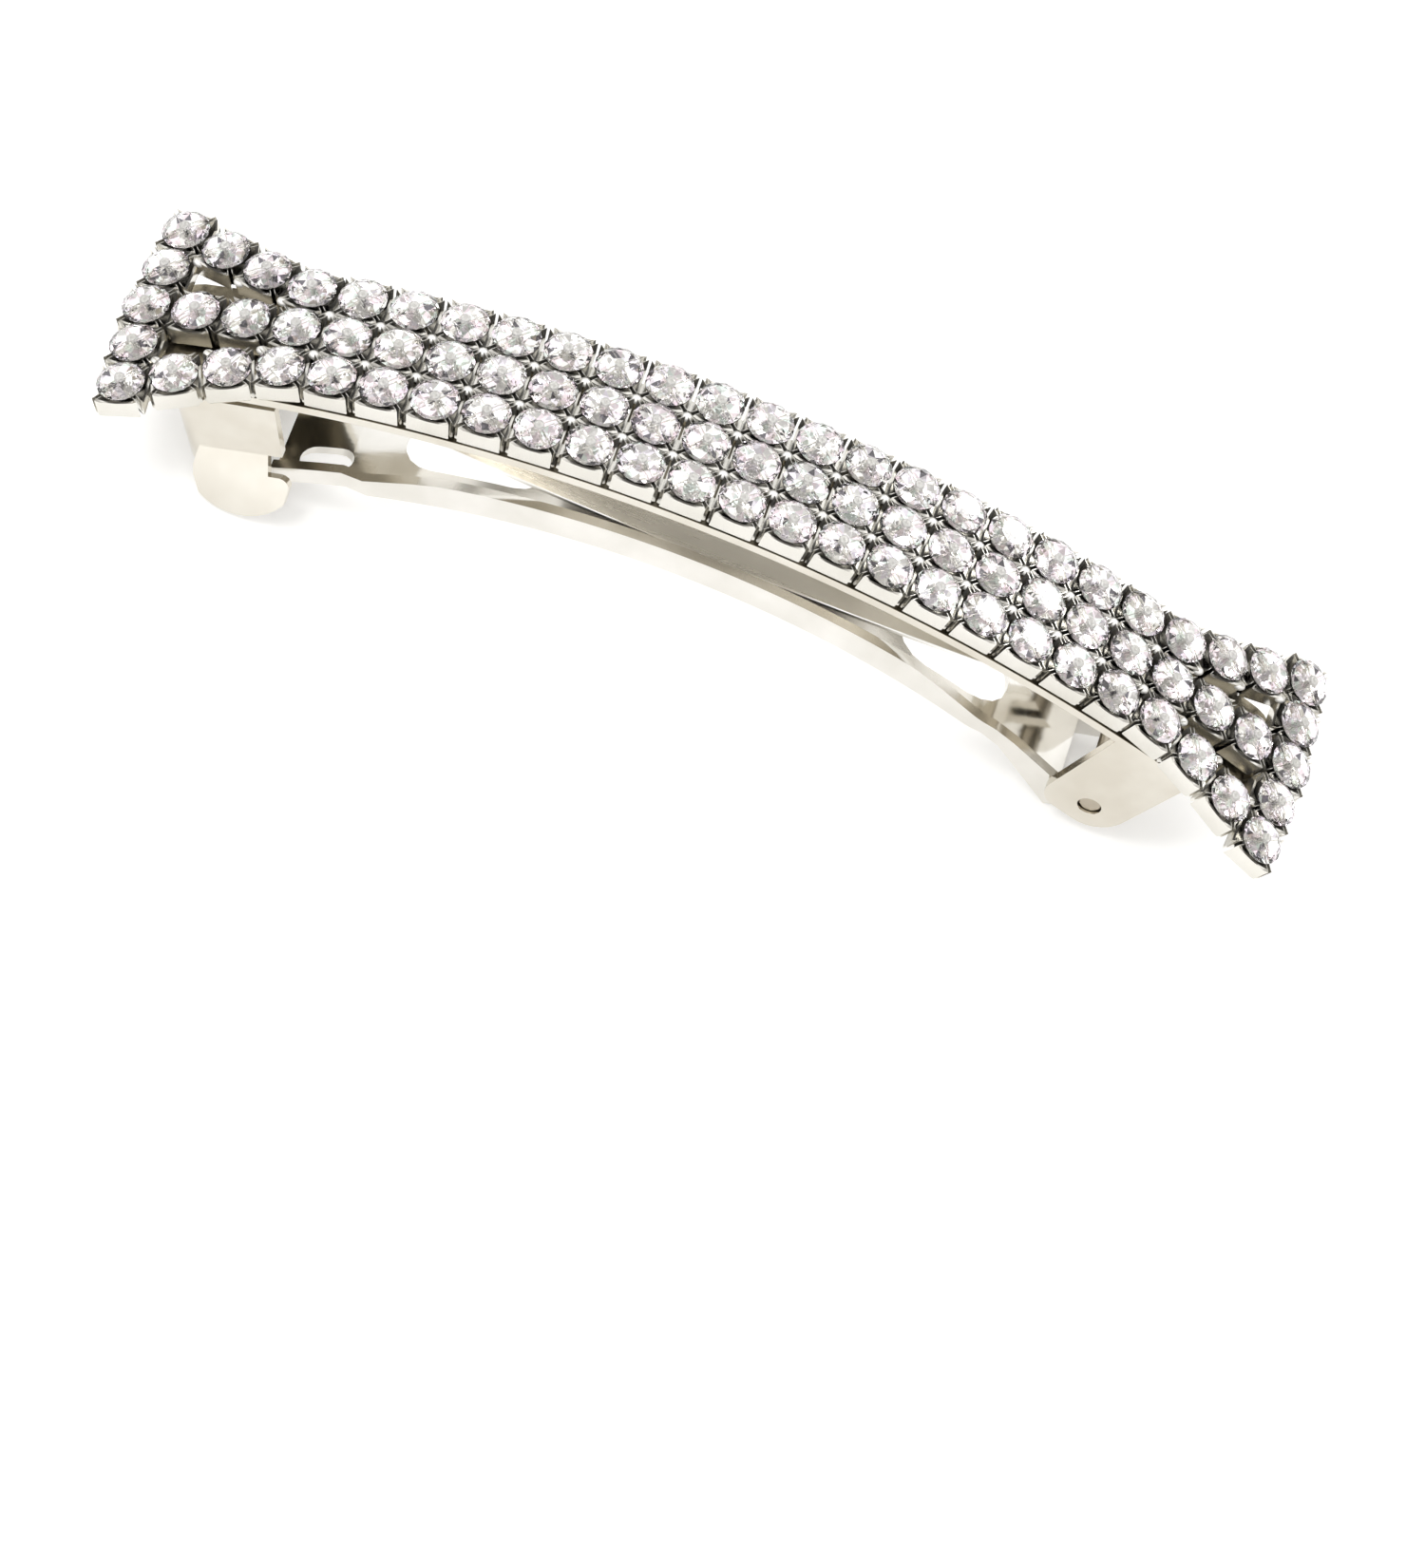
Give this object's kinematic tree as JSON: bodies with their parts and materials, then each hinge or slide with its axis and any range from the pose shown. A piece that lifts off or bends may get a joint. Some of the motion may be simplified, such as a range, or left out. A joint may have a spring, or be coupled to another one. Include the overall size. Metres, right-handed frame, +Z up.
{
  "type": "rhinestone hair clip",
  "caption": "Arched French barrette: rows of claw-set clear stones that fan out at both ends, on a polished metal snap clasp.",
  "frame": {"origin": "under the middle of the clip, at the height of its lowest point, the lever's heel", "axes": "+X along the clip from the catch to the hinge, +Z up through the stones, -Y towards the front row of stones"},
  "size_m": [0.084, 0.0168, 0.0196],
  "materials": {
    "nickel_plating": "polished nickel plate",
    "spring_steel": "plated spring steel strip",
    "pin_steel": "drawn wire",
    "clear_crystal": "faceted and foiled at the back"
  },
  "bodies": {
    "frame": {"base_plate": "nickel_plating", "hinge_pin": "pin_steel", "cup_chain_front": "nickel_plating", "cup_chain_middle": "nickel_plating", "cup_chain_rear": "nickel_plating", "end_cup_front_left": "nickel_plating", "end_cup_rear_left": "nickel_plating", "end_cup_front_right": "nickel_plating", "end_cup_rear_right": "nickel_plating", "stones_front": "clear_crystal", "stones_middle": "clear_crystal", "stones_rear": "clear_crystal", "end_stone_front_left": "clear_crystal", "end_stone_rear_left": "clear_crystal", "end_stone_front_right": "clear_crystal", "end_stone_rear_right": "clear_crystal"},
    "lever": {"lever": "nickel_plating"},
    "leaf": {"spring_leaf": "spring_steel"},
    "wing_front": {"catch_wing_front": "nickel_plating"},
    "wing_rear": {"catch_wing_rear": "nickel_plating"}
  },
  "joints": [
    {"name": "lever_hinge", "type": "hinge", "parent": "frame", "child": "lever", "pos_m": [0.02954, 0, 0.00314], "axis": [0, -1, 0], "range_deg": [0, 75]},
    {"name": "wing_front_squeeze", "type": "hinge", "parent": "frame", "child": "wing_front", "pos_m": [-0.03311, -0.00405, 0.00919], "axis": [1, 0, 0], "range_deg": [0, 2.5], "stiffness_Nm_per_rad": 0.02},
    {"name": "wing_rear_squeeze", "type": "hinge", "parent": "frame", "child": "wing_rear", "pos_m": [-0.03311, 0.00405, 0.00919], "axis": [-1, 0, 0], "range_deg": [0, 2.5], "stiffness_Nm_per_rad": 0.02},
    {"name": "leaf_press", "type": "slide", "parent": "frame", "child": "leaf", "axis": [0, 0, 1], "range_m": [0, 0.0008], "stiffness_N_per_m": 500, "deforming": ["spring_leaf"]}
  ]
}
